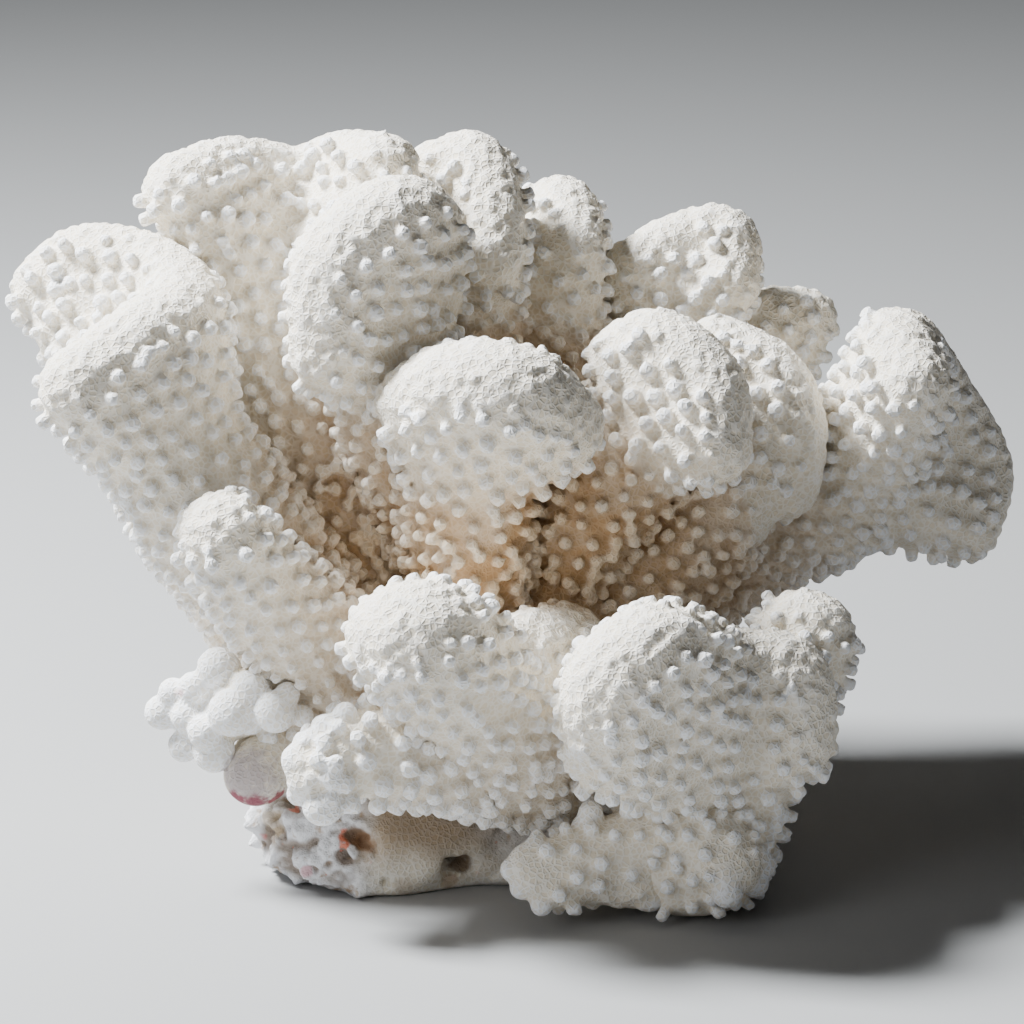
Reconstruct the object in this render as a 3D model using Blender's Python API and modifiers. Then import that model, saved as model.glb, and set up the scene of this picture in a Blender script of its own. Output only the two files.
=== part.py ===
"""Cats paw coral: a dry colony of branching stony coral, about 21 cm wide.

A trunk stands on a dead base, and lobes fork from the trunk and from each other. A lobe is modelled like
clay: balls are strung along curves that run up a stalk and fan out to a crest line, and a voxel remesh
joins them into one skin. Small pointed lumps are then raised on the skin. Where lobes meet, the one listed
first keeps the space, and the later one is cut back to a narrow gap.

+X is to the right, +Y is away from the front and +Z is up. The origin lies on the flat cut face that the
dead base rests on.
"""

from collections import deque

import bmesh
import bpy
import numpy as np
from mathutils import noise
from mathutils.bvhtree import BVHTree

MM = 0.001

# Driving dimensions, in millimetres
FACET = 7.8
LUMP_HEIGHT = 2.6
LEAST_ROOM = 3.0
ROOM_SHARE = 0.42
GAP = 0.45
LEAST_GAP = 0.2
SEAM_MERGE = 1.8
BURIED_DEPTH = 2.0
BURIED_SHARE = 0.4
FLOOR_MARGIN = 3.5
FLOOR_CUTTER = 300.0
CHALK_RELIEF = 1.6
CHALK_WAVE = 9.0

# Points on a curve between two of its given points, and smoothing passes on a skin
STALK_STEPS = 4
CREST_STEPS = 5
SMOOTH_STEPS = 3

BLEACHED = (0.86, 0.82, 0.74)
CHALK = (0.64, 0.59, 0.54)
ROUGHNESS = 0.78
SHARP_ANGLE = 0.6

# Each lobe is a stalk and a crest. Their points are x, y, z and radius in millimetres. A branch with no
# crest follows its stalk alone.
LOBES = {
    "holdfast": (
        [(0, -2, 4, 24)],
        [(-45, -17, 10, 10), (-37, -22, 9, 13), (-26, -22, 7, 15), (-11, -12, 3, 18), (6, -10, 1, 20),
         (23, -14, 2, 17), (36, -24, 5, 13), (42, -4, 7, 13), (32, 16, 6, 14), (8, 24, 5, 15),
         (-18, 20, 6, 15), (-38, 0, 8, 13), (-45, -15, 10, 10)],
    ),
    "trunk": (
        [(-14, -4, 17, 24), (-6, 4, 34, 30), (3, 10, 47, 26)],
        [],
    ),
    "left_fan": (
        [(-37, -4, 41, 16), (-54, -7, 64, 16), (-69, -8, 87, 14.5)],
        [(-87, -29, 107, 9), (-76, -20, 113, 9.5), (-68, -8, 118, 9), (-75, 6, 123, 8.5),
         (-89, 13, 124, 8.5), (-97, 14, 118, 8.5)],
    ),
    "back_left_fan": (
        [(-20, 11, 40, 17), (-38, 17, 72, 19), (-46, 21, 99, 16)],
        [(-69, 14, 139, 8.5), (-59, 24, 141, 8), (-45, 32, 138, 7.5), (-35, 28, 141, 8.5),
         (-27, 17, 143, 8)],
    ),
    "upper_hook": (
        [(-9, 6, 52, 12.5), (-18, -1, 81, 12.5), (-26, -3, 104, 12)],
        [(-37, -16, 112, 9), (-35, -13, 128, 10.5), (-24, -6, 136, 10.5), (-18, 3, 132, 8.5),
         (-17, 3, 121, 7.5)],
    ),
    "top_finger": (
        [(-9, 16, 59, 13), (-9, 24, 92, 12.5), (-10, 28, 113, 12)],
        [(-15, 30, 140, 7.5), (-8, 28, 141, 8), (-5, 20, 133, 8), (-5, 14, 125, 7.5)],
    ),
    "mid_blade": (
        [(2, 20, 57, 13), (5, 34, 85, 14.5), (6, 40, 106, 14)],
        [(8, 52, 126, 7.5), (11, 46, 128, 8), (13, 34, 122, 7.5)],
    ),
    "rear_right_fan": (
        [(10, 22, 54, 13), (27, 43, 83, 13), (33, 50, 101, 12)],
        [(26, 45, 115, 7.5), (37, 52, 119, 8), (46, 54, 120, 8), (46, 45, 112, 7.5)],
    ),
    "rear_right_knob": (
        [(24, 28, 54, 11), (47, 50, 78, 11), (58, 60, 94, 10)],
        [(58, 62, 101, 7.5), (65, 62, 101, 7)],
    ),
    "right_saddle": (
        [(23, 16, 47, 14), (48, 25, 59, 13), (71, 32, 71, 13.5)],
        [(84, 4, 100, 8.5), (81, 14, 104, 9), (84, 26, 102, 8.5), (93, 38, 89, 7.5),
         (102, 42, 72, 7.5), (99, 34, 61, 7.5)],
    ),
    "centre_club": (
        [(-7, -4, 47, 13.5), (-9, -9, 68, 13), (-9, -14, 86, 13)],
        [(-19, -22, 102, 9), (-11, -28, 106, 10.5), (1, -30, 105, 11.5), (10, -24, 98, 9)],
    ),
    "right_club": (
        [(6, 4, 49, 13), (16, 0, 72, 12), (27, 0, 89, 12)],
        [(24, 4, 105, 8.5), (31, 0, 108, 9), (40, -6, 101, 9), (41, -11, 91, 9)],
    ),
    "right_blade": (
        [(16, 6, 46, 15), (32, 11, 63, 16), (46, 14, 79, 13)],
        [(44, 21, 103, 8), (54, 16, 98, 8.5), (58, 12, 88, 9), (57, 12, 77, 8.5)],
    ),
    "front_left_club": (
        [(-25, -12, 38, 14), (-41, -24, 53, 12.5), (-52, -33, 68, 10.8)],
        [(-58, -40, 79, 9.5)],
    ),
    "front_ridge": (
        [(6, -22, 24, 13.5), (-4, -38, 39, 14.5)],
        [(-23, -58, 63, 10.5), (-16, -60, 63, 12.5), (-4, -46, 54, 9.5), (4, -36, 53, 9.5),
         (11, -28, 52, 9.5)],
    ),
    "front_right_saddle": (
        [(37, -39, 10, 15), (42, -33, 27, 15)],
        [(20, -60, 41, 10), (20, -66, 54, 11), (29, -62, 61, 10.5), (43, -45, 53, 8.5),
         (55, -41, 49, 9.5), (57, -42, 38, 9.5)],
    ),
    "front_right_knob": (
        [(45, -26, 25, 12), (54, -26, 40, 12)],
        [(60, -26, 53, 11)],
    ),
    "low_finger": (
        [(10, -26, 24, 11), (-7, -38, 31, 10.5), (-23, -46, 35.5, 10)],
        [(-34, -52, 37, 8), (-39, -55, 35, 6.5)],
    ),
    "left_bulbs": (
        [(-34, -12, 33, 11), (-47, -20, 41, 9)],
        [(-66, -23, 39, 5.5), (-60, -25, 36, 5.5), (-54, -28, 42, 6.5)],
    ),
    "left_knee": (
        [(-34, -8, 20, 12), (-47, -18, 27, 9)],
        [(-53, -28, 25, 7.3)],
    ),
    "front_foot": (
        [(36, -42, 17, 10), (26, -43, 15, 8)],
        [(4, -50, 12, 5), (8, -51, 8, 4.5), (17, -47, 8, 5), (26, -47, 7, 5)],
    ),
    "right_foot": (
        [(38, -43, 17, 11), (43, -49, 13, 8)],
        [],
    ),
    "back_left_club": (
        [(-24, 18, 40, 14), (-46, 38, 62, 13)],
        [(-67, 46, 87, 9), (-58, 56, 92, 9), (-44, 60, 90, 9.5)],
    ),
    "back_centre_club": (
        [(-4, 24, 46, 15), (-7, 48, 74, 14)],
        [(-20, 60, 96, 10), (-7, 66, 99, 10.5), (8, 62, 96, 9.5)],
    ),
    "back_right_club": (
        [(22, 28, 42, 14), (42, 52, 62, 13)],
        [(38, 64, 83, 9), (53, 67, 85, 9.5), (64, 60, 77, 9)],
    ),
    "back_low_left_knob": (
        [(-18, 20, 24, 13), (-38, 42, 34, 12)],
        [(-50, 52, 46, 11)],
    ),
    "back_low_centre_knob": (
        [(0, 28, 22, 14), (-2, 50, 34, 13)],
        [(-8, 63, 47, 10.5), (6, 65, 49, 10.5)],
    ),
    "back_low_right_knob": (
        [(14, 22, 20, 13), (28, 42, 28, 12)],
        [(37, 54, 37, 11)],
    ),
}

# Single swellings that stand on a lobe: place and radius
LUMPS = {
    "left_bulbs": [
        (-72.5, -24, 37, 3.9), (-68, -25, 30, 3.6), (-61.5, -29, 30, 4.6), (-57.5, -34, 40, 5.2), (-48.5, -35, 40.5, 4.6),
        (-67, -28, 37.5, 3.6), (-70, -25, 41.5, 3.4), (-65.5, -27, 43, 3.8), (-60.5, -27, 47.5, 4.6), (-63, -31, 35, 4),
        (-53.5, -32, 44.5, 4.2), (-46, -34, 44, 2.8), (-43, -33, 39, 2.5),
    ],
    "low_finger": [(-43, -56, 36, 3.8), (-40, -57, 31, 3.8), (-38, -57, 28, 4.2), (-35, -54, 31, 4)],
    "front_foot": [
        (3, -50, 13.5, 3.8), (0, -51, 12, 2.6), (2, -52, 8.5, 2.7), (6, -54, 5.5, 2.5), (10, -51, 6.5, 2.8),
        (16.5, -48, 6.5, 3.1), (5, -49, 16, 2.8), (16, -45, 22, 2.8), (14.5, -45, 19, 2.7),
        (20, -46, 18, 2.7), (24, -48, 6, 2.9), (28, -49, 5, 2.9), (11, -50, 13, 2.6), (22, -49, 11, 2.6),
    ],
    "right_foot": [
        (43, -54, 12, 3.9), (43.5, -54.5, 8.5, 3.6), (36, -51, 13, 2.7), (47, -52, 11, 2.8),
        (51, -45, 11, 3.2), (49.5, -46, 7.5, 3.3), (33, -53, 7, 2.8),
    ],
}
CHALKY = {"holdfast"}


def clear_scene():
    for obj in list(bpy.data.objects):
        bpy.data.objects.remove(obj, do_unlink=True)


def new_collection(name, hidden=False):
    collection = bpy.data.collections.new(name)
    bpy.context.scene.collection.children.link(collection)
    collection.hide_render = hidden
    return collection


def new_material(name, colour):
    material = bpy.data.materials.new(name)
    material.use_nodes = True
    shader = material.node_tree.nodes["Principled BSDF"]
    shader.inputs["Base Color"].default_value = (*colour, 1)
    shader.inputs["Roughness"].default_value = ROUGHNESS
    shader.inputs["Metallic"].default_value = 0
    return material


def curve_points(points, steps):
    """Points of a smooth curve through the given ones, by the Catmull-Rom formula."""
    given = np.array(points, float)
    if len(given) == 1:
        return given
    padded = np.vstack([2 * given[0] - given[1], given, 2 * given[-1] - given[-2]])
    found = []
    for a, b, c, d in zip(padded, padded[1:], padded[2:], padded[3:]):
        for t in np.arange(steps) / steps:
            bend = 2 * a - 5 * b + 4 * c - d + t * (3 * (b - c) + d - a)
            found.append(b + 0.5 * t * (c - a + t * bend))
    found.append(given[-1])
    return np.array(found)


def balls_of(stalk, crest, lumps):
    """Centres and radii of a lobe's balls: the stalk, its runs to each point of the crest, and the lumps."""
    if crest:
        tips = curve_points(crest, CREST_STEPS)
        chains = [curve_points([*stalk, tip], STALK_STEPS) for tip in tips]
    else:
        chains = [curve_points(stalk, 2 * STALK_STEPS)]
    return np.vstack([*chains, *([lump] for lump in lumps)])


def unit_ball():
    bm = bmesh.new()
    bmesh.ops.create_icosphere(bm, subdivisions=2, radius=1)
    points = np.array([vert.co[:] for vert in bm.verts])
    faces = np.array([[vert.index for vert in face.verts] for face in bm.faces])
    bm.free()
    return points, faces


def evaluated_mesh(obj):
    graph = bpy.context.evaluated_depsgraph_get()
    return bpy.data.meshes.new_from_object(obj.evaluated_get(graph))


def skin_of(name, balls):
    """One even, closed skin of four-sided faces around all the balls."""
    points, faces = unit_ball()
    placed = points[None] * balls[:, None, 3:] + balls[:, None, :3]
    shifts = np.arange(len(balls))[:, None, None] * len(points)
    heap = bpy.data.meshes.new(name)
    triangles = (faces[None] + shifts).reshape(-1, 3)
    heap.from_pydata((placed.reshape(-1, 3) * MM).tolist(), [], triangles.tolist())
    lobe = bpy.data.objects.new(name, heap)
    bpy.context.scene.collection.objects.link(lobe)
    remesh = lobe.modifiers.new("one skin", "REMESH")
    remesh.mode = "VOXEL"
    remesh.voxel_size = FACET * MM
    smooth = lobe.modifiers.new("soften", "SMOOTH")
    smooth.iterations = SMOOTH_STEPS
    skin = evaluated_mesh(lobe)
    bpy.data.objects.remove(lobe)
    bpy.data.meshes.remove(heap)
    return skin


def tree_of(mesh):
    bm = bmesh.new()
    bm.from_mesh(mesh)
    tree = BVHTree.FromBMesh(bm)
    bm.free()
    return tree


def height_over(tree, point):
    """The distance from a skin to the point, negative where the point is inside."""
    nearest, normal, _, _ = tree.find_nearest(point)
    return (point - nearest).dot(normal)


def depth_inside(point, trees):
    """How far the point lies inside the lobe that holds it deepest, or 0 where none does."""
    return max(0, *(-height_over(tree, point) for tree in trees))


def thin_out_buried(name, skin, trees):
    """Leaves few faces where the skin runs deep inside other lobes, because nothing shows there."""
    buried = [vert.index for vert in skin.vertices if depth_inside(vert.co, trees) > BURIED_DEPTH * MM]
    lobe = bpy.data.objects.new(name, skin)
    bpy.context.scene.collection.objects.link(lobe)
    lobe.vertex_groups.new(name="buried").add(buried, 1, "REPLACE")
    share = len(buried) / len(skin.vertices)
    thin = lobe.modifiers.new("thin out", "DECIMATE")
    thin.vertex_group = "buried"
    thin.vertex_group_factor = 1000
    thin.ratio = 1 - share * (1 - BURIED_SHARE)
    thinned = evaluated_mesh(lobe)
    bpy.data.objects.remove(lobe)
    return thinned


def room_at(point, trees):
    """The distance from the point to the nearest other lobe, or 0 inside one or close to the floor."""
    if point.z < FLOOR_MARGIN * MM or depth_inside(point, trees):
        return 0
    return min(tree.find_nearest(point)[3] for tree in trees)


def every_other_point(bm, allowed):
    """Points of the skin of which no two share an edge, found by walking outwards from the first."""
    chosen = set()
    seen = set()
    for start in bm.verts:
        if start in seen:
            continue
        seen.add(start)
        queue = deque([start])
        while queue:
            vert = queue.popleft()
            around = [edge.other_vert(vert) for edge in vert.link_edges]
            if allowed(vert) and not chosen.intersection(around):
                chosen.add(vert)
            for other in around:
                if other not in seen:
                    seen.add(other)
                    queue.append(other)
    return chosen


def raise_lumps(mesh, trees):
    """Raises every other point into a pointed lump. Each face between is folded along its low corners."""
    bm = bmesh.new()
    bm.from_mesh(mesh)
    bm.normal_update()
    room = {vert: room_at(vert.co, trees) for vert in bm.verts}
    lumps = every_other_point(bm, lambda vert: room[vert] > LEAST_ROOM * MM)
    for face in list(bm.faces):
        low = [vert for vert in face.verts if vert not in lumps]
        if len(face.verts) == 4 and len(low) in (2, 3):
            corners = list(face.verts)
            first = next(i for i, vert in enumerate(corners) if vert in lumps)
            bmesh.utils.face_split(face, corners[first - 1], corners[(first + 1) % 4])
    bmesh.ops.triangulate(bm, faces=bm.faces)
    moves = {vert: vert.normal * min(LUMP_HEIGHT * MM, ROOM_SHARE * room[vert]) for vert in lumps}
    for vert, move in moves.items():
        vert.co += move
    bm.to_mesh(mesh)
    bm.free()


def roughen(mesh):
    """Uneven swells on the chalky base."""
    bm = bmesh.new()
    bm.from_mesh(mesh)
    bm.normal_update()
    for vert in bm.verts:
        vert.co += vert.normal * noise.noise(vert.co / (CHALK_WAVE * MM)) * CHALK_RELIEF * MM
    bm.to_mesh(mesh)
    bm.free()


def grown(mesh, name, collection):
    """A cutter: the skin moved outwards by the gap."""
    bm = bmesh.new()
    bm.from_mesh(mesh)
    bm.normal_update()
    moves = [vert.normal * vert.calc_shell_factor() * GAP * MM for vert in bm.verts]
    for vert, move in zip(bm.verts, moves):
        vert.co += move
    bmesh.ops.triangulate(bm, faces=bm.faces)
    cutter = bpy.data.objects.new(name, bpy.data.meshes.new(name))
    bm.to_mesh(cutter.data)
    bm.free()
    collection.objects.link(cutter)
    cutter.hide_render = True
    cutter.display_type = "WIRE"
    return cutter


def floor_cutter(collection):
    bm = bmesh.new()
    bmesh.ops.create_cube(bm, size=FLOOR_CUTTER * MM)
    bmesh.ops.translate(bm, verts=bm.verts, vec=(0, 0, -FLOOR_CUTTER * MM / 2))
    cutter = bpy.data.objects.new("below_the_cut", bpy.data.meshes.new("below_the_cut"))
    bm.to_mesh(cutter.data)
    bm.free()
    collection.objects.link(cutter)
    cutter.hide_render = True
    cutter.display_type = "WIRE"
    return cutter


def islands(bm):
    """The bodies that a mesh falls into, as lists of points."""
    left = set(bm.verts)
    found = []
    while left:
        body = [left.pop()]
        for vert in body:
            for edge in vert.link_edges:
                other = edge.other_vert(vert)
                if other in left:
                    left.remove(other)
                    body.append(other)
        found.append(body)
    return found


def keeps_gaps(point, ring, own, others):
    """Whether the point, and two points on each edge from it to the ring, stay inside the lobe's own skin and
    off the others."""
    tests = [point, *(point.lerp(vert.co, share) for vert in ring for share in (1 / 3, 2 / 3))]
    if any(height_over(own, test) > (GAP - LEAST_GAP) * MM for test in tests):
        return False
    return all(height_over(tree, test) > LEAST_GAP * MM for tree in others for test in tests)


def merge_short_edges(bm, own, others):
    """Merges the ends of each short edge where the skin stays closed and keeps its gaps."""
    for edge in sorted(bm.edges, key=lambda edge: edge.calc_length()):
        if not edge.is_valid or edge.calc_length() > SEAM_MERGE * MM:
            continue
        one, two = edge.verts
        rings = [{link.other_vert(vert) for link in vert.link_edges} for vert in (one, two)]
        if len(rings[0] & rings[1]) != 2:
            continue
        ring = (rings[0] | rings[1]) - {one, two}
        for point in ((one.co + two.co) / 2, one.co.copy(), two.co.copy()):
            if keeps_gaps(point, ring, own, others):
                bmesh.ops.pointmerge(bm, verts=[one, two], merge_co=point)
                break


def tidy_body(mesh, own, others):
    """Keeps the largest body, as triangles, without the slivers that the cuts leave along the seams."""
    bm = bmesh.new()
    bm.from_mesh(mesh)
    bodies = sorted(islands(bm), key=len)
    for body in bodies[:-1]:
        bmesh.ops.delete(bm, geom=body, context="VERTS")
    bmesh.ops.triangulate(bm, faces=bm.faces)
    merge_short_edges(bm, own, others)
    bm.to_mesh(mesh)
    bm.free()


def cut_back(lobe, cutters):
    """Cuts the lobe by each cutter. The exact solver empties skins that fold over where they are thin."""
    for cutter in cutters:
        boolean = lobe.modifiers.new(cutter.name, "BOOLEAN")
        boolean.operation = "DIFFERENCE"
        boolean.solver = "MANIFOLD"
        boolean.object = cutter
    mesh = evaluated_mesh(lobe)
    lobe.modifiers.clear()
    lobe.data = mesh


def main():
    clear_scene()
    bpy.context.scene.unit_settings.system = "METRIC"
    colony = new_collection("cats_paw_coral")
    cutting = new_collection("cutters", hidden=True)
    skins = {name: skin_of(name, balls_of(*lobe, LUMPS.get(name, ()))) for name, lobe in LOBES.items()}
    trees = {name: tree_of(skin) for name, skin in skins.items()}
    for name, skin in skins.items():
        skins[name] = thin_out_buried(name, skin, [trees[other] for other in LOBES if other != name])
    for name, skin in skins.items():
        if name in CHALKY:
            roughen(skin)
        else:
            raise_lumps(skin, [trees[other] for other in LOBES if other != name])
    trees = {name: tree_of(skin) for name, skin in skins.items()}
    floor = floor_cutter(cutting)
    cutters = {}
    for name, skin in skins.items():
        touching = [other for other in cutters if trees[name].overlap(trees[other])]
        cutters[name] = grown(skin, name + "_cutter", cutting)
        skin.materials.append(new_material(name, CHALK if name in CHALKY else BLEACHED))
        lobe = bpy.data.objects.new(name, skin)
        colony.objects.link(lobe)
        cut_back(lobe, [floor, *(cutters[other] for other in touching)])
        tidy_body(lobe.data, trees[name], [trees[other] for other in touching])
        lobe.data.shade_smooth()
        lobe.data.set_sharp_from_angle(angle=SHARP_ANGLE)


main()
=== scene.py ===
"""Looks of the cats paw coral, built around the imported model.

Each lobe is grown again from the same stalk and crest as its solid, this time with a fine skin. Blunt knobs
stand on the skin, dense and low on the crests, tall and apart on the flanks. A voxel remesh joins skin and
knobs into one surface. Lengths in the tables are millimetres.
"""

import math

import bmesh
import bpy
import numpy as np
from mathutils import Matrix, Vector, noise
from mathutils.bvhtree import BVHTree


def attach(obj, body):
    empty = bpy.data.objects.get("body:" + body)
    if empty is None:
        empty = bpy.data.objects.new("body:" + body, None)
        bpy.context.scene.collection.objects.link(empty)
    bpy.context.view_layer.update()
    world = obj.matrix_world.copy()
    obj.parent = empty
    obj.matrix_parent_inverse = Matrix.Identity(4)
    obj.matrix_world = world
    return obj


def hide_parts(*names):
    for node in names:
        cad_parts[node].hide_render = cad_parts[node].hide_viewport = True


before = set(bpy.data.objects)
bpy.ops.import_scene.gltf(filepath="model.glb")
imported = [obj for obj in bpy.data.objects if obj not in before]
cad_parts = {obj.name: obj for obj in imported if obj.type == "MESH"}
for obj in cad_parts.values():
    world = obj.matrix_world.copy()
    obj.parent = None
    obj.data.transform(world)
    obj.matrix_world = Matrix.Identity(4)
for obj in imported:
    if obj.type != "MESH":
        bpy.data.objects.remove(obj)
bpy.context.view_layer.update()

MM = 0.001

# Steps on a curve between two of its given points
STALK_STEPS = 5
CREST_STEPS = 6

# Voxel sizes and smoothing passes of the bare skin and of the finished surface
SKIN_VOXEL = 1.0
SKIN_SMOOTHING = 8
FINE_VOXEL = 0.55
FINE_SMOOTHING = 2

# Share of the faces kept where the surface shows, and deep inside other lobes
KEPT_SHARE = 0.4
BURIED_SHARE = 0.05
BURIED_DEPTH = 1.5

# Crest is the skin past this share of the way to the tip that faces at least this much towards the tip
CREST_TIPNESS = 0.8
CREST_FACING = 0.3
# A stalk ends at this share of the way to the tip
STALK_TIPNESS = 0.75

# How many kinds of knob there are, and the seed of all random draws
KNOB_KINDS = 8
SEED = 7

# Knobs keep this far off other lobes, and this high above the resting cut
CLEAR_OF_LOBES = 0.4
CLEAR_OF_CUT = 3.5

# Width of a cup in the skin and how deep it looks, and width of the finest grain
CUP = 1.25
CUP_DEPTH = 0.2
GRAIN = 0.4

# The middle of the colony, where the skeleton is tan: partly its own tone, partly painted shade deep in the
# colony
HEART = (0, 10, 62)

# The photograph's view, in metres: how far away, how high it aims and how much it shows across
CAMERA_TILT = math.radians(15)
CAMERA_DISTANCE = 1.0
AIM_HEIGHT = 0.0735
VIEW_WIDTH = 0.21504
SENSOR_WIDTH = 36

LOBES = {
    "trunk": (
        [(-14, -4, 17, 24), (-6, 4, 34, 30), (3, 10, 47, 26)],
        [],
    ),
    "left_fan": (
        [(-37, -4, 41, 16), (-54, -7, 64, 16), (-69, -8, 87, 14.5)],
        [(-87, -29, 107, 9), (-76, -20, 113, 9.5), (-68, -8, 118, 9), (-75, 6, 123, 8.5),
         (-89, 13, 124, 8.5), (-97, 14, 118, 8.5)],
    ),
    "back_left_fan": (
        [(-20, 11, 40, 17), (-38, 17, 72, 19), (-46, 21, 99, 16)],
        [(-69, 14, 139, 8.5), (-59, 24, 141, 8), (-45, 32, 138, 7.5), (-35, 28, 141, 8.5),
         (-27, 17, 143, 8)],
    ),
    "upper_hook": (
        [(-9, 6, 52, 12.5), (-18, -1, 81, 12.5), (-26, -3, 104, 12)],
        [(-37, -16, 112, 9), (-35, -13, 128, 10.5), (-24, -6, 136, 10.5), (-18, 3, 132, 8.5),
         (-17, 3, 121, 7.5)],
    ),
    "top_finger": (
        [(-9, 16, 59, 13), (-9, 24, 92, 12.5), (-10, 28, 113, 12)],
        [(-15, 30, 140, 7.5), (-8, 28, 141, 8), (-5, 20, 133, 8), (-5, 14, 125, 7.5)],
    ),
    "mid_blade": (
        [(2, 20, 57, 13), (5, 34, 85, 14.5), (6, 40, 106, 14)],
        [(8, 52, 126, 7.5), (11, 46, 128, 8), (13, 34, 122, 7.5)],
    ),
    "rear_right_fan": (
        [(10, 22, 54, 13), (27, 43, 83, 13), (33, 50, 101, 12)],
        [(26, 45, 115, 7.5), (37, 52, 119, 8), (46, 54, 120, 8), (46, 45, 112, 7.5)],
    ),
    "rear_right_knob": (
        [(24, 28, 54, 11), (47, 50, 78, 11), (58, 60, 94, 10)],
        [(58, 62, 101, 7.5), (65, 62, 101, 7)],
    ),
    "right_saddle": (
        [(23, 16, 47, 14), (48, 25, 59, 13), (71, 32, 71, 13.5)],
        [(84, 4, 100, 8.5), (81, 14, 104, 9), (84, 26, 102, 8.5), (93, 38, 89, 7.5),
         (102, 42, 72, 7.5), (99, 34, 61, 7.5)],
    ),
    "centre_club": (
        [(-7, -4, 47, 13.5), (-9, -9, 68, 13), (-9, -14, 86, 13)],
        [(-19, -22, 102, 9), (-11, -28, 106, 10.5), (1, -30, 105, 11.5), (10, -24, 98, 9)],
    ),
    "right_club": (
        [(6, 4, 49, 13), (16, 0, 72, 12), (27, 0, 89, 12)],
        [(24, 4, 105, 8.5), (31, 0, 108, 9), (40, -6, 101, 9), (41, -11, 91, 9)],
    ),
    "right_blade": (
        [(16, 6, 46, 15), (32, 11, 63, 16), (46, 14, 79, 13)],
        [(44, 21, 103, 8), (54, 16, 98, 8.5), (58, 12, 88, 9), (57, 12, 77, 8.5)],
    ),
    "front_left_club": (
        [(-25, -12, 38, 14), (-41, -24, 53, 12.5), (-52, -33, 68, 10.8)],
        [(-58, -40, 79, 9.5)],
    ),
    "front_ridge": (
        [(6, -22, 24, 13.5), (-4, -38, 39, 14.5)],
        [(-23, -58, 63, 10.5), (-16, -60, 63, 12.5), (-4, -46, 54, 9.5), (4, -36, 53, 9.5),
         (11, -28, 52, 9.5)],
    ),
    "front_right_saddle": (
        [(37, -39, 10, 15), (42, -33, 27, 15)],
        [(20, -60, 41, 10), (20, -66, 54, 11), (29, -62, 61, 10.5), (43, -45, 53, 8.5),
         (55, -41, 49, 9.5), (57, -42, 38, 9.5)],
    ),
    "front_right_knob": (
        [(45, -26, 25, 12), (54, -26, 40, 12)],
        [(60, -26, 53, 11)],
    ),
    "low_finger": (
        [(10, -26, 24, 11), (-7, -38, 31, 10.5), (-23, -46, 35.5, 10)],
        [(-34, -52, 37, 8), (-39, -55, 35, 6.5)],
    ),
    "left_bulbs": (
        [(-34, -12, 33, 11), (-47, -20, 41, 9)],
        [(-66, -23, 39, 5.5), (-60, -25, 36, 5.5), (-54, -28, 42, 6.5)],
    ),
    "left_knee": (
        [(-34, -8, 20, 12), (-47, -18, 27, 9)],
        [(-53, -28, 25, 7.3)],
    ),
    "front_foot": (
        [(36, -42, 17, 10), (26, -43, 15, 8)],
        [(4, -50, 12, 5), (8, -51, 8, 4.5), (17, -47, 8, 5), (26, -47, 7, 5)],
    ),
    "right_foot": (
        [(38, -43, 17, 11), (43, -49, 13, 8)],
        [],
    ),
    "back_left_club": (
        [(-24, 18, 40, 14), (-46, 38, 62, 13)],
        [(-67, 46, 87, 9), (-58, 56, 92, 9), (-44, 60, 90, 9.5)],
    ),
    "back_centre_club": (
        [(-4, 24, 46, 15), (-7, 48, 74, 14)],
        [(-20, 60, 96, 10), (-7, 66, 99, 10.5), (8, 62, 96, 9.5)],
    ),
    "back_right_club": (
        [(22, 28, 42, 14), (42, 52, 62, 13)],
        [(38, 64, 83, 9), (53, 67, 85, 9.5), (64, 60, 77, 9)],
    ),
    "back_low_left_knob": (
        [(-18, 20, 24, 13), (-38, 42, 34, 12)],
        [(-50, 52, 46, 11)],
    ),
    "back_low_centre_knob": (
        [(0, 28, 22, 14), (-2, 50, 34, 13)],
        [(-8, 63, 47, 10.5), (6, 65, 49, 10.5)],
    ),
    "back_low_right_knob": (
        [(14, 22, 20, 13), (28, 42, 28, 12)],
        [(37, 54, 37, 11)],
    ),
}
HOLDFAST = (
    [(0, -2, 4, 24)],
    [(-45, -17, 10, 10), (-37, -22, 9, 13), (-26, -22, 7, 15), (-11, -12, 3, 18), (6, -10, 1, 20),
     (23, -14, 2, 17), (36, -24, 5, 13), (42, -4, 7, 13), (32, 16, 6, 14), (8, 24, 5, 15),
     (-18, 20, 6, 15), (-38, 0, 8, 13), (-45, -15, 10, 10)],
)

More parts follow.
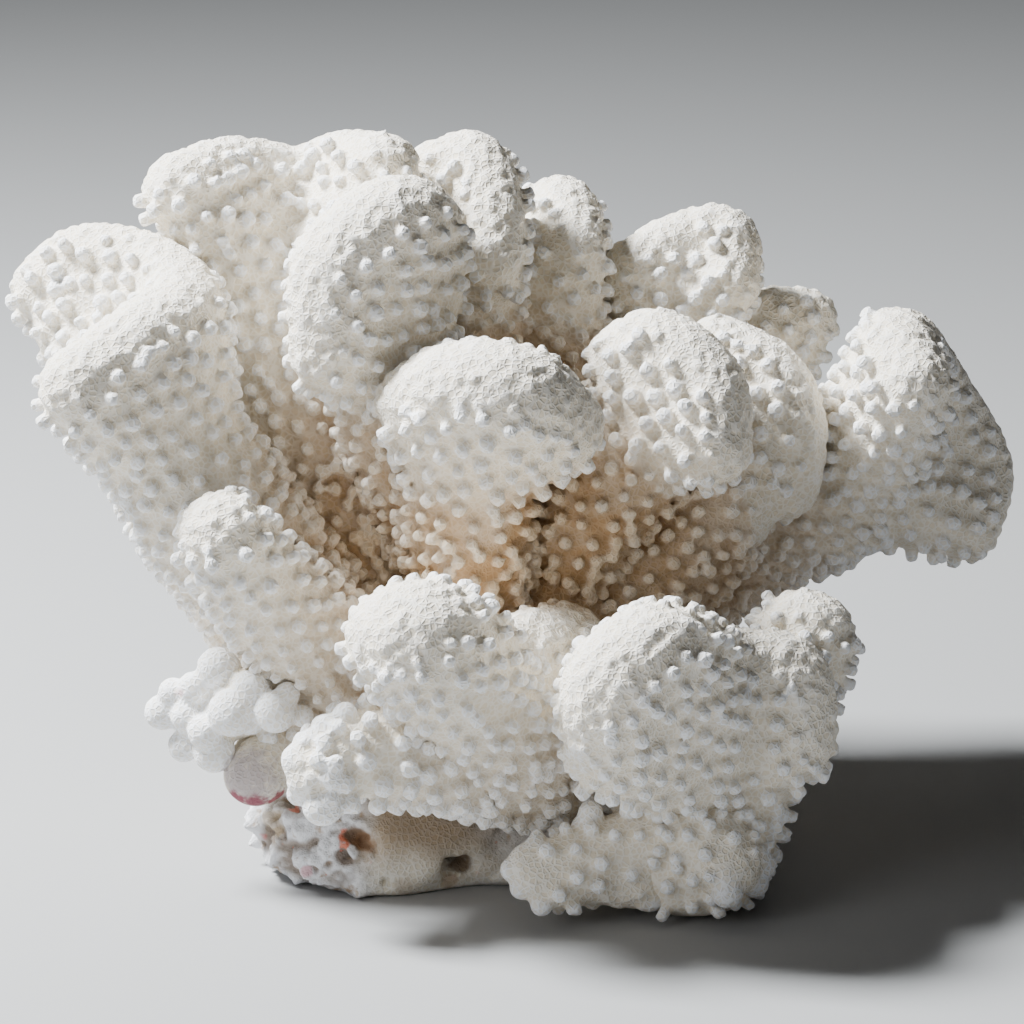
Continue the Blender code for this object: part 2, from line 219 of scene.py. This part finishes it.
# Single swellings that stand on a lobe: place and radius
LUMPS = {
    "left_bulbs": [
        (-72.5, -24, 37, 3.9), (-68, -25, 30, 3.6), (-61.5, -29, 30, 4.6), (-57.5, -34, 40, 5.2),
        (-48.5, -35, 40.5, 4.6), (-67, -28, 37.5, 3.6), (-70, -25, 41.5, 3.4), (-65.5, -27, 43, 3.8),
        (-60.5, -27, 47.5, 4.6), (-63, -31, 35, 4), (-53.5, -32, 44.5, 4.2), (-46, -34, 44, 2.8),
        (-43, -33, 39, 2.5), (-66, -25, 35, 4),
        (-60, -28, 38, 4.6), (-54, -31, 38, 3.8), (-53, -30, 41.5, 5), (-65, -25, 41, 4),
        (-58, -27, 43.5, 4.8),
    ],
    "low_finger": [
        (-43, -56, 37, 3.6), (-42, -57, 32.5, 3.3), (-38, -58, 28, 4.4), (-35, -54, 30, 4.2),
        (-40, -55, 40.5, 3), (-37, -54, 43.5, 2.7), (-33.5, -52, 45.5, 2.6), (-36, -61, 35, 2.6),
        (-43, -55, 29.5, 2.6),
    ],
    "front_foot": [
        (3, -50, 13.5, 3.8), (0, -51, 12, 2.6), (2, -52, 8.5, 2.7), (6, -54, 5.5, 2.5), (10, -51, 6.5, 2.8),
        (16.5, -48, 6.5, 3.1), (5, -49, 16, 2.8), (16, -45, 22, 2.8), (14.5, -45, 19, 2.7),
        (20, -46, 18, 2.7), (24, -48, 6, 2.9), (28, -49, 5, 2.9), (11, -50, 13, 2.6), (22, -49, 11, 2.6),
    ],
    "right_foot": [
        (43, -54, 12, 3.9), (43.5, -54.5, 8.5, 3.6), (36, -51, 13, 2.7), (47, -52, 11, 2.8),
        (51, -45, 11, 3.2), (49.5, -46, 7.5, 3.3), (33, -53, 7, 2.8),
    ],
}

# Knobs of the flanks: distance apart and radius. Lobes with other knobs are named, bare ones have none.
KNOBS = (4.1, 1.6)
OTHER_KNOBS = {
    "low_finger": (4.2, 1.9),
    "left_bulbs": (6.5, 1.9),
    "left_knee": None,
    "front_foot": (4.6, 1.5),
    "right_foot": (4.2, 1.5),
    "holdfast": None,
}

# Spots of coralline red, pink and brown: place, radius, colour and strength
CRUST_STAINS = [
    ((-47.5, -26.5, 20.0), 1.3, (0.62, 0.10, 0.07), 0.9),
    ((-49.5, -25.5, 18.5), 1.1, (0.62, 0.10, 0.07), 0.9),
    ((-44.5, -28.0, 19.5), 1.1, (0.60, 0.10, 0.08), 0.9),
    ((-45.3, -26.8, 16.6), 1.5, (0.75, 0.30, 0.22), 0.85),
    ((-45.0, -27.5, 14.0), 1.3, (0.32, 0.10, 0.05), 0.9),
    ((-34.4, -34.8, 13.9), 1.5, (0.72, 0.20, 0.11), 0.9),
    ((-34.6, -35.0, 11.8), 1.4, (0.72, 0.20, 0.11), 0.9),
    ((-32.3, -33.0, 13.0), 2.6, (0.20, 0.12, 0.07), 0.85),
    ((-30.0, -32.5, 11.4), 3.2, (0.34, 0.20, 0.11), 0.85),
    ((-42.6, -33.4, 5.3), 1.5, (0.75, 0.42, 0.46), 0.75),
    ((-50.0, -25.0, 13.0), 3.6, (0.50, 0.40, 0.28), 0.7),
    ((-52.0, -23.5, 9.0), 1.3, (0.55, 0.14, 0.13), 0.85),
    ((-51.5, -24.0, 11.2), 1.0, (0.60, 0.20, 0.20), 0.7),
    ((-11.0, -28.0, 5.8), 2.6, (0.22, 0.15, 0.09), 0.85),
    ((-12.5, -31.0, 3.8), 1.6, (0.62, 0.26, 0.22), 0.7),
    ((-12.8, -30.5, 2.0), 2.2, (0.40, 0.27, 0.16), 0.6),
    ((-22.0, -33.0, 3.0), 3.0, (0.48, 0.39, 0.30), 0.6),
]
BULB_STAINS = [
    ((-54.0, -31.0, 25.0), 6.5, (0.38, 0.32, 0.34), 0.75),
    ((-69.5, -30.0, 42.8), 1.9, (0.66, 0.36, 0.36), 0.7),
    ((-57.0, -32.0, 20.5), 2.6, (0.26, 0.04, 0.07), 0.9),
    ((-53.0, -32.5, 20.3), 2.8, (0.24, 0.04, 0.07), 0.9),
    ((-48.5, -30.5, 20.3), 2.6, (0.28, 0.05, 0.06), 0.9),
    ((-63.0, -28.0, 25.5), 1.2, (0.40, 0.16, 0.18), 0.6),
]

# Pits and worm holes in the dead base: place, radius and depth
HOLES = [
    (-32.0, -35.0, 13.6, 2.4, 5), (-30.0, -34.5, 11.2, 2.6, 3.5), (-34.8, -35.5, 9.6, 1.6, 3),
    (-45.0, -28.5, 14.0, 1.6, 2.5), (-42.4, -34.4, 5.3, 1.7, 1.6), (-29.5, -35.4, 6.2, 0.9, 2),
    (-12.4, -31.6, 5.6, 2.3, 5), (-9.6, -30.6, 5.6, 2.1, 5), (-12.6, -32.0, 2.9, 1.5, 2),
    (-51.5, -24.5, 10.5, 1.8, 2.5), (-38.0, -35.5, 7.4, 1.1, 1.8), (-47.0, -30.5, 8.5, 1.2, 1.8),
    (-26.0, -35.5, 3.0, 1.0, 1.6),
]


def curve_points(points, steps):
    """Points of a smooth curve through the given ones, by the Catmull-Rom formula."""
    given = np.array(points, float)
    if len(given) == 1:
        return given
    padded = np.vstack([2 * given[0] - given[1], given, 2 * given[-1] - given[-2]])
    found = []
    for a, b, c, d in zip(padded, padded[1:], padded[2:], padded[3:]):
        for t in np.arange(steps) / steps:
            bend = 2 * a - 5 * b + 4 * c - d + t * (3 * (b - c) + d - a)
            found.append(b + 0.5 * t * (c - a + t * bend))
    found.append(given[-1])
    return np.array(found)


def chains_of(stalk, crest):
    """The curves that carry a lobe's balls, one for each point of its crest."""
    if not crest:
        return [curve_points(stalk, 2 * STALK_STEPS)]
    return [curve_points([*stalk, tip], STALK_STEPS) for tip in curve_points(crest, CREST_STEPS)]


def ball_template():
    bm = bmesh.new()
    bmesh.ops.create_icosphere(bm, subdivisions=2, radius=1)
    points = np.array([vert.co[:] for vert in bm.verts])
    faces = np.array([[vert.index for vert in face.verts] for face in bm.faces])
    bm.free()
    return points, faces


BALL = ball_template()


def mesh_from(name, points, triangles):
    """A mesh of triangles from arrays, with its points in millimetres."""
    mesh = bpy.data.meshes.new(name)
    mesh.vertices.add(len(points))
    mesh.vertices.foreach_set("co", (points * MM).astype(np.float32).ravel())
    mesh.loops.add(3 * len(triangles))
    mesh.loops.foreach_set("vertex_index", triangles.astype(np.int32).ravel())
    mesh.polygons.add(len(triangles))
    mesh.polygons.foreach_set("loop_start", np.arange(0, 3 * len(triangles), 3, dtype=np.int32))
    mesh.update(calc_edges=True)
    return mesh


def points_of(mesh):
    points = np.empty(3 * len(mesh.vertices), np.float32)
    mesh.vertices.foreach_get("co", points)
    return points.reshape(-1, 3) / MM


def normals_of(mesh):
    normals = np.empty(3 * len(mesh.vertices), np.float32)
    mesh.vertices.foreach_get("normal", normals)
    return normals.reshape(-1, 3)


def triangles_of(mesh):
    mesh.calc_loop_triangles()
    triangles = np.empty(3 * len(mesh.loop_triangles), np.int32)
    mesh.loop_triangles.foreach_get("vertices", triangles)
    return triangles.reshape(-1, 3)


def joined(shapes):
    """One array of points and one of triangles from many pairs of them."""
    starts = np.cumsum([0, *(len(points) for points, _ in shapes)])
    points = np.vstack([points for points, _ in shapes])
    triangles = np.vstack([triangles + start for (_, triangles), start in zip(shapes, starts)])
    return points, triangles


def copies(template, count):
    """The triangles of many copies of a template, laid one after the other."""
    points, triangles = template
    return (triangles[None] + np.arange(count)[:, None, None] * len(points)).reshape(-1, 3)


def remeshed(name, points, triangles, voxel, smoothing):
    """One closed skin around everything given, smoothed."""
    heap = mesh_from(name, points, triangles)
    helper = bpy.data.objects.new(name + "_helper", heap)
    bpy.context.scene.collection.objects.link(helper)
    remesh = helper.modifiers.new("one skin", "REMESH")
    remesh.mode = "VOXEL"
    remesh.voxel_size = voxel * MM
    smooth = helper.modifiers.new("soften", "SMOOTH")
    smooth.iterations = smoothing
    graph = bpy.context.evaluated_depsgraph_get()
    mesh = bpy.data.meshes.new_from_object(helper.evaluated_get(graph))
    bpy.data.objects.remove(helper)
    bpy.data.meshes.remove(heap)
    return mesh


class Skin:
    """The bare skin of a lobe: where it is, which way it faces and how near the tip each point lies."""

    def __init__(self, name, stalk, crest):
        chains = chains_of(stalk, crest)
        balls = np.vstack(chains)
        self.centres = balls[:, :3]
        self.share = np.concatenate([np.linspace(0, 1, len(chain)) for chain in chains])
        self.growth = np.vstack([np.gradient(chain[:, :3], axis=0) for chain in chains])
        self.growth /= np.linalg.norm(self.growth, axis=1, keepdims=True)
        placed = BALL[0][None] * balls[:, None, 3:] + balls[:, None, :3]
        placed[:, :, 2] = np.maximum(placed[:, :, 2], 0)
        mesh = remeshed(name, placed.reshape(-1, 3), copies(BALL, len(balls)), SKIN_VOXEL, SKIN_SMOOTHING)
        self.points = points_of(mesh)
        self.normals = normals_of(mesh)
        self.triangles = triangles_of(mesh)
        self.tree = BVHTree.FromPolygons(self.points.tolist(), self.triangles.tolist())
        self.low = self.points.min(0)
        self.high = self.points.max(0)
        bpy.data.meshes.remove(mesh)
        nearest = self.nearest_ball(self.points)
        self.tipness = self.share[nearest]
        self.towards_tip = self.growth[nearest]

    def nearest_ball(self, points):
        found = np.empty(len(points), int)
        for start in range(0, len(points), 4000):
            part = points[start:start + 4000]
            gaps = ((part[:, None] - self.centres[None]) ** 2).sum(2)
            found[start:start + 4000] = gaps.argmin(1)
        return found

    def holds(self, points, margin):
        """Which points lie inside this skin, or outside it by less than the margin."""
        inside = np.zeros(len(points), bool)
        near = ((points > self.low - margin) & (points < self.high + margin)).all(1)
        for index in np.flatnonzero(near):
            point = Vector(points[index])
            place, normal, _, _ = self.tree.find_nearest(point)
            inside[index] = (point - place).dot(normal) < margin
        return inside


def scatter(points, spacing, rng):
    """Evenly spread picks: each is the point that lies farthest from the picks before it."""
    index = int(rng.integers(len(points)))
    reach = np.full(len(points), np.inf)
    picks = []
    while True:
        picks.append(index)
        reach = np.minimum(reach, np.linalg.norm(points - points[index], axis=1) / spacing)
        index = int(reach.argmax())
        if reach[index] < 1:
            return np.array(picks)


def unit(vectors):
    return vectors / np.linalg.norm(vectors, axis=1, keepdims=True)


def knob_shapes(count, rng):
    """Blunt knobs of radius one that stand on the origin, each with a few cup rims around its end."""
    shapes = []
    for _ in range(count):
        body = (BALL[0] + (0, 0, 0.62), BALL[1])
        rims = []
        turn = rng.uniform(0, 2 * math.pi)
        places = int(rng.integers(3, 6))
        for angle in turn + np.arange(places) * 2 * math.pi / places:
            place = (0.52 * math.cos(angle), 0.52 * math.sin(angle), rng.uniform(1.0, 1.22))
            rims.append((BALL[0] * rng.uniform(0.48, 0.62) + place, BALL[1]))
        shapes.append(joined([body, *rims]))
    return shapes


def knobs_on(skin, exposed, knobs, shapes, rng):
    """The knobs on one lobe: apart on its flanks, low and close on its crest, dense on its stalk."""
    apart, radius = knobs
    spots = np.flatnonzero(exposed)
    facing = (skin.normals[spots] * skin.towards_tip[spots]).sum(1)
    near_tip = np.clip((skin.tipness[spots] - CREST_TIPNESS) / 0.1, 0, 1)
    crest = near_tip * np.clip((facing - CREST_FACING) / 0.4, 0, 1)
    stalk = np.clip((STALK_TIPNESS - skin.tipness[spots]) / 0.3, 0, 1)
    picks = scatter(skin.points[spots], apart * (1 - 0.45 * crest - 0.24 * stalk), rng)
    crest = crest[picks]
    stalk = stalk[picks]
    spots = spots[picks]
    count = len(spots)
    lean = 0.4 * skin.towards_tip[spots] * (1 - crest[:, None]) + rng.normal(0, 0.12, (count, 3))
    axis = unit(skin.normals[spots] + lean)
    side = unit(np.cross(axis, rng.normal(0, 1, (count, 3))))
    other = np.cross(axis, side)
    width = radius * (1 - 0.25 * crest - 0.1 * stalk) * rng.uniform(0.86, 1.14, count)
    height = radius * (1 - 0.78 * crest) * rng.uniform(0.9, 1.25, count)
    frames = np.stack([side * width[:, None], other * width[:, None], axis * height[:, None]], axis=1)
    chosen = rng.integers(len(shapes), size=count)
    placed = []
    for index, (points, triangles) in enumerate(shapes):
        mine = chosen == index
        if mine.any():
            grown = np.einsum("pk,nkc->npc", points, frames[mine]) + skin.points[spots[mine]][:, None]
            placed.append((grown.reshape(-1, 3), copies((points, triangles), int(mine.sum()))))
    return joined(placed)


def thin_out(piece, buried):
    """Fewer faces all over, and very few where the surface runs deep inside other lobes."""
    piece.vertex_groups.new(name="buried").add(np.flatnonzero(buried).tolist(), 1, "REPLACE")
    hidden = piece.modifiers.new("thin out what is buried", "DECIMATE")
    hidden.vertex_group = "buried"
    hidden.vertex_group_factor = 1000
    hidden.ratio = 1 - float(buried.mean()) * (1 - BURIED_SHARE)
    overall = piece.modifiers.new("thin out", "DECIMATE")
    overall.ratio = KEPT_SHARE
    overall.use_collapse_triangulate = True
    rounding = piece.modifiers.new("round off the facets", "SMOOTH")
    rounding.factor = 0.4
    rounding.iterations = 2
    graph = bpy.context.evaluated_depsgraph_get()
    mesh = bpy.data.meshes.new_from_object(piece.evaluated_get(graph))
    whole = piece.data
    piece.modifiers.clear()
    piece.vertex_groups.clear()
    piece.data = mesh
    bpy.data.meshes.remove(whole)


def drop_strays(mesh):
    """Deletes the loose flecks that the remesh and the thinning leave beside the one surface."""
    bm = bmesh.new()
    bm.from_mesh(mesh)
    left = set(bm.faces)
    parts = []
    while left:
        part = [left.pop()]
        for face in part:
            joining = {other for edge in face.edges for other in edge.link_faces} & left
            left -= joining
            part.extend(joining)
        parts.append(part)
    parts.sort(key=len)
    strays = [face for part in parts[:-1] for face in part]
    bmesh.ops.delete(bm, geom=strays, context="FACES")
    bm.to_mesh(mesh)
    bm.free()


def near_skin(points, skin):
    """For each point, how far it stands out from the bare skin, and the skin's face nearest to it."""
    distances = np.empty(len(points), np.float32)
    faces = np.empty(len(points), int)
    for index, point in enumerate(points.tolist()):
        place, normal, faces[index], distance = skin.tree.find_nearest(point)
        distances[index] = math.copysign(distance, (Vector(point) - place).dot(normal))
    return distances, faces


def keep_values(mesh, name, values):
    mesh.attributes.new(name, "FLOAT", "POINT").data.foreach_set("value", np.asarray(values, np.float32))


def finish_piece(name, mesh, skin, deep):
    """Makes the piece from its mesh, with its foot cut flat and the values that its material reads."""
    piece = bpy.data.objects.new("coral_" + name, mesh)
    bpy.context.scene.collection.objects.link(piece)
    _, faces = near_skin(points_of(mesh), skin)
    thin_out(piece, deep[skin.triangles].all(1)[faces])
    mesh = piece.data
    drop_strays(mesh)
    points = points_of(mesh)
    points[:, 2] = np.maximum(points[:, 2], 0)
    mesh.vertices.foreach_set("co", (points * MM).astype(np.float32).ravel())
    stand, faces = near_skin(points, skin)
    keep_values(mesh, "stand", stand)
    keep_values(mesh, "tipness", skin.tipness[skin.triangles].mean(1)[faces])
    mesh.shade_smooth()
    return piece


def build_lobe(name, skin, others, shapes, rng):
    """A lobe with its knobs and lumps, joined into one fine surface."""
    covered = np.any([other.holds(skin.points, CLEAR_OF_LOBES) for other in others], axis=0)
    deep = covered & np.any([other.holds(skin.points, -BURIED_DEPTH) for other in others], axis=0)
    exposed = ~covered & (skin.points[:, 2] > CLEAR_OF_CUT)
    knobs = OTHER_KNOBS.get(name, KNOBS)
    shapes = [knobs_on(skin, exposed, knobs, shapes, rng)] if knobs else []
    for *place, radius in LUMPS.get(name, ()):
        shapes.append((BALL[0] * radius + place, BALL[1]))
    points, triangles = joined([(skin.points, skin.triangles), *shapes])
    points[:, 2] = np.maximum(points[:, 2], 0)
    mesh = remeshed(name, points, triangles, FINE_VOXEL, FINE_SMOOTHING)
    return finish_piece(name, mesh, skin, deep)


def chalk_share(points):
    """1 on the dead crust and 0 on the smooth plate that the living coral spread over it in front."""
    across = (points[:, 0] + 33) / 6
    behind = (points[:, 1] + 30) / 6
    return np.clip(1 - across, 0, 1) + np.clip(behind, 0, 1) * np.clip(across, 0, 1)


def build_base(name, skin, others):
    """The dead base: a flat-footed skin with chalky swells, grains and holes."""
    deep = np.any([other.holds(skin.points, -BURIED_DEPTH) for other in others], axis=0)
    mesh = remeshed(name, skin.points, skin.triangles, FINE_VOXEL, FINE_SMOOTHING)
    points = points_of(mesh)
    normals = normals_of(mesh)
    chalk = chalk_share(points)
    footing = np.clip(points[:, 2] / 2, 0, 1)
    swell = np.array([
        [noise.noise(Vector(point) / 9), noise.turbulence(Vector(point) / 7, 3, True),
         noise.noise(Vector(point) / 1.3)]
        for point in points.tolist()
    ])
    swell[:, 1] -= swell[:, 1].mean()
    relief = chalk * (swell @ (2.2, 5.2, 0.7)) + (1 - chalk) * (swell @ (1.4, 0.5, 0.1))
    for x, y, z, radius, depth in HOLES:
        away = np.linalg.norm(points - (x, y, z), axis=1) / radius + 0.25 * swell[:, 2]
        relief -= depth * np.clip(1.3 - away, 0, 1) ** 0.8
    points += normals * (relief * footing)[:, None]
    points[:, 2] = np.maximum(points[:, 2], 0)
    mesh.vertices.foreach_set("co", (points * MM).astype(np.float32).ravel())
    piece = finish_piece(name, mesh, skin, deep)
    keep_values(piece.data, "chalk", chalk_share(points_of(piece.data)))
    return piece


class Nodes:
    """Short ways to add and link shader nodes."""

    def __init__(self, name):
        self.material = bpy.data.materials.new(name)
        self.material.use_nodes = True
        self.tree = self.material.node_tree
        self.shader = self.tree.nodes["Principled BSDF"]
        self.place = self.add("ShaderNodeTexCoord").outputs["Object"]

    def add(self, kind, inputs=None, **settings):
        node = self.tree.nodes.new(kind)
        for key, value in settings.items():
            setattr(node, key, value)
        for key, value in (inputs or {}).items():
            if isinstance(value, bpy.types.NodeSocket):
                self.tree.links.new(value, node.inputs[key])
            else:
                node.inputs[key].default_value = value
        return node

    def link(self, output, key):
        self.tree.links.new(output, self.shader.inputs[key])

    def attribute(self, name):
        return self.add("ShaderNodeAttribute", attribute_name=name).outputs["Fac"]

    def ranged(self, value, low, high, to_low=0.0, to_high=1.0):
        """The value mapped smoothly from one range to another."""
        node = self.add("ShaderNodeMapRange", {"Value": value, "From Min": low, "From Max": high,
                                               "To Min": to_low, "To Max": to_high},
                        interpolation_type="SMOOTHSTEP")
        return node.outputs["Result"]

    def math(self, operation, one, two):
        return self.add("ShaderNodeMath", {0: one, 1: two}, operation=operation).outputs[0]

    def mixed(self, share, one, two, blend="MIX"):
        node = self.add("ShaderNodeMix", data_type="RGBA", blend_type=blend)
        for index, value in ((0, share), (6, one), (7, two)):
            if isinstance(value, bpy.types.NodeSocket):
                self.tree.links.new(value, node.inputs[index])
            else:
                node.inputs[index].default_value = (*value, 1) if isinstance(value, tuple) else value
        return node.outputs[2]

    def noise(self, size_mm, detail=3.0):
        inputs = {"Vector": self.place, "Scale": 1000 / size_mm, "Detail": detail}
        return self.add("ShaderNodeTexNoise", inputs).outputs["Fac"]

    def cup(self):
        """1 inside the cups of the living skin and 0 on the thin walls between them."""
        node = self.add("ShaderNodeTexVoronoi", {"Vector": self.place, "Scale": 1000 / CUP},
                        feature="DISTANCE_TO_EDGE")
        return self.ranged(node.outputs["Distance"], 0.03, 0.24)

    def stained(self, colour, stains):
        """The colour with ragged spots on it, each given by its place, radius, colour and strength."""
        frayed = self.noise(1.5)
        for place, radius, tint, strength in stains:
            centre = tuple(value * MM for value in place)
            away = self.add("ShaderNodeVectorMath", {0: self.place, 1: centre}, operation="DISTANCE")
            rough_edge = self.math("MULTIPLY", frayed, radius * MM)
            ragged = self.math("ADD", away.outputs["Value"], rough_edge)
            mask = self.ranged(ragged, radius * 1.7 * MM, radius * 1.1 * MM, 0.0, strength)
            colour = self.mixed(mask, colour, tint)
        return colour

    def bump(self, height, strength, distance_mm, below=None):
        inputs = {"Height": height, "Strength": strength, "Distance": distance_mm * MM}
        if below is not None:
            inputs["Normal"] = below
        return self.add("ShaderNodeBump", inputs).outputs["Normal"]


def coral_material(name, stains=()):
    """Bleached coral: white knob ends, cream skin between them, tan towards the heart, cups all over, with
    painted shade deepening the hollows between the knobs, the tan and the cup floors.
    """
    n = Nodes(name)
    stand = n.attribute("stand")
    tipness = n.attribute("tipness")
    middle = tuple(value * MM for value in HEART)
    heart = n.add("ShaderNodeVectorMath", {0: n.place, 1: middle}, operation="DISTANCE")
    # Tan towards the heart and on the stalks below the heads: partly the skeleton's own tone, partly
    # painted shade deep in the colony
    inwards = n.ranged(heart.outputs["Value"], 84 * MM, 26 * MM)
    innermost = n.ranged(heart.outputs["Value"], 52 * MM, 34 * MM)
    shaded = n.math("MAXIMUM", n.ranged(tipness, 1.05, 0.45), innermost)
    patches = n.ranged(n.noise(11), 0.3, 0.7, 0.7, 1.1)
    tan_and_painted_shade = n.math("MULTIPLY", n.math("MULTIPLY", inwards, shaded), patches)
    hollow_tone_and_painted_shade = n.mixed(tan_and_painted_shade, (0.87, 0.82, 0.73), (0.50, 0.34, 0.20))
    knob = n.mixed(tan_and_painted_shade, (0.93, 0.94, 0.96), (0.86, 0.72, 0.55))
    # The skin between the knobs is darker cream than their white ends: partly its own tone, partly painted
    # shade in the hollows
    skin = n.mixed(n.ranged(stand, 0.1, 1.7), hollow_tone_and_painted_shade, knob)
    cup = n.cup()
    # Cup floors darker than their walls: painted shade in the cups
    with_painted_cup_shade = n.mixed(cup, skin, (0.92, 0.87, 0.78), "MULTIPLY")
    specks = n.ranged(n.noise(2.3, 4.0), 0.66, 0.74, 0.0, 0.4)
    dust_and_painted_shade = n.mixed(specks, with_painted_cup_shade, (0.55, 0.47, 0.38))
    n.link(n.stained(dust_and_painted_shade, stains), "Base Color")
    on_knobs = n.ranged(stand, 0.1, 1.2, 0.4, 0.6)
    on_crests = n.ranged(tipness, CREST_TIPNESS, 0.95, 0.0, 0.7)
    cups = n.bump(cup, n.math("MAXIMUM", on_knobs, on_crests), -CUP_DEPTH)
    n.link(n.bump(n.noise(GRAIN, 4.0), 0.6, 0.15, cups), "Normal")
    n.shader.inputs["Roughness"].default_value = 0.78
    n.shader.inputs["Specular IOR Level"].default_value = 0.3
    return n.material


def crust_material():
    """The base: weather-worn chalk with coralline red, darker in its low places as painted shade, and the
    smooth plate, cream with cups, darker towards its top as painted shadow and with painted shade in its
    cups.
    """
    n = Nodes("chalky crust")
    relief = n.attribute("stand")
    # The chalk darker where it lies low, in its troughs and holes: painted shade
    chalk = n.mixed(n.ranged(relief, -1.3, 0.4), (0.34, 0.29, 0.25), (0.80, 0.80, 0.82))
    weathered_and_painted_shade = n.mixed(n.ranged(n.noise(3.4, 6.0), 0.57, 0.70), chalk, (0.42, 0.31, 0.22))
    reddish = n.mixed(n.ranged(n.noise(2.7, 3.0), 0.68, 0.74), weathered_and_painted_shade, (0.55, 0.20, 0.15))
    # The plate darker towards its top: painted shadow under the lobes that overhang it
    height = n.add("ShaderNodeSeparateXYZ", {"Vector": n.place}).outputs["Z"]
    painted_shadow_height = n.math("ADD", height, n.math("MULTIPLY", n.noise(14, 4.0), 8 * MM))
    plate = n.mixed(n.ranged(painted_shadow_height, 7 * MM, 17 * MM), (0.84, 0.80, 0.72), (0.46, 0.37, 0.28))
    cup = n.cup()
    # Cup floors darker than their walls: painted shade in the cups
    plate_with_painted_shade = n.mixed(cup, plate, (0.90, 0.86, 0.78), "MULTIPLY")
    share = n.attribute("chalk")
    n.link(n.stained(n.mixed(share, plate_with_painted_shade, reddish), CRUST_STAINS), "Base Color")
    cups = n.bump(cup, n.ranged(share, 1.0, 0.0, 0.0, 0.45), -0.22)
    grains = n.bump(n.noise(1.6, 7.0), n.ranged(share, 0.0, 1.0, 0.15, 1.0), 0.9, cups)
    n.link(n.bump(n.noise(GRAIN, 4.0), 0.6, 0.15, grains), "Normal")
    n.shader.inputs["Roughness"].default_value = 0.9
    n.shader.inputs["Specular IOR Level"].default_value = 0.25
    return n.material


def add_floor():
    mesh = bpy.data.meshes.new("floor")
    bm = bmesh.new()
    bmesh.ops.create_grid(bm, x_segments=1, y_segments=1, size=3)
    bm.to_mesh(mesh)
    bm.free()
    floor = bpy.data.objects.new("floor", mesh)
    bpy.context.scene.collection.objects.link(floor)
    material = bpy.data.materials.new("floor")
    material.use_nodes = True
    material.node_tree.nodes["Principled BSDF"].inputs["Base Color"].default_value = (0.36, 0.36, 0.36, 1)
    material.node_tree.nodes["Principled BSDF"].inputs["Roughness"].default_value = 0.9
    mesh.materials.append(material)


def add_camera():
    data = bpy.data.cameras.new("camera")
    data.sensor_width = SENSOR_WIDTH
    data.lens = SENSOR_WIDTH * CAMERA_DISTANCE / VIEW_WIDTH
    camera = bpy.data.objects.new("camera", data)
    height = CAMERA_DISTANCE * math.sin(CAMERA_TILT) + AIM_HEIGHT
    camera.location = (0, -CAMERA_DISTANCE * math.cos(CAMERA_TILT), height)
    camera.rotation_euler = (math.pi / 2 - CAMERA_TILT, 0, 0)
    bpy.context.scene.collection.objects.link(camera)
    bpy.context.scene.camera = camera


def add_light(name, place, size, energy, colour):
    light = bpy.data.lights.new(name, "AREA")
    light.size = size
    light.energy = energy
    light.color = colour
    lamp = bpy.data.objects.new(name, light)
    lamp.location = place
    lamp.rotation_euler = (Vector((0, 0, 0.07)) - lamp.location).to_track_quat("-Z", "Y").to_euler()
    bpy.context.scene.collection.objects.link(lamp)


def add_lights():
    world = bpy.data.worlds.new("studio")
    world.use_nodes = True
    world.node_tree.nodes["Background"].inputs["Color"].default_value = (1, 1, 1, 1)
    world.node_tree.nodes["Background"].inputs["Strength"].default_value = 0.05
    bpy.context.scene.world = world
    add_light("key", (-0.55, 0.07, 0.75), 0.25, 44, (0.94, 0.975, 1.0))
    add_light("fill", (-0.75, -0.75, 0.45), 0.5, 2.6, (0.96, 0.98, 1.0))


def main():
    rng = np.random.default_rng(SEED)
    shapes = knob_shapes(KNOB_KINDS, rng)
    skins = {name: Skin(name, *lobe) for name, lobe in LOBES.items()}
    skins["holdfast"] = Skin("holdfast", *HOLDFAST)
    coral = coral_material("coral skeleton")
    stained = coral_material("stained coral", BULB_STAINS)
    crust = crust_material()
    for name, skin in skins.items():
        others = [other for key, other in skins.items() if key != name]
        if name == "holdfast":
            piece = build_base(name, skin, others)
            piece.data.materials.append(crust)
        else:
            piece = build_lobe(name, skin, others, shapes, rng)
            piece.data.materials.append(stained if name in ("left_bulbs", "left_knee") else coral)
        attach(piece, "root")
        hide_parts(name)


main()
add_floor()
add_camera()
add_lights()
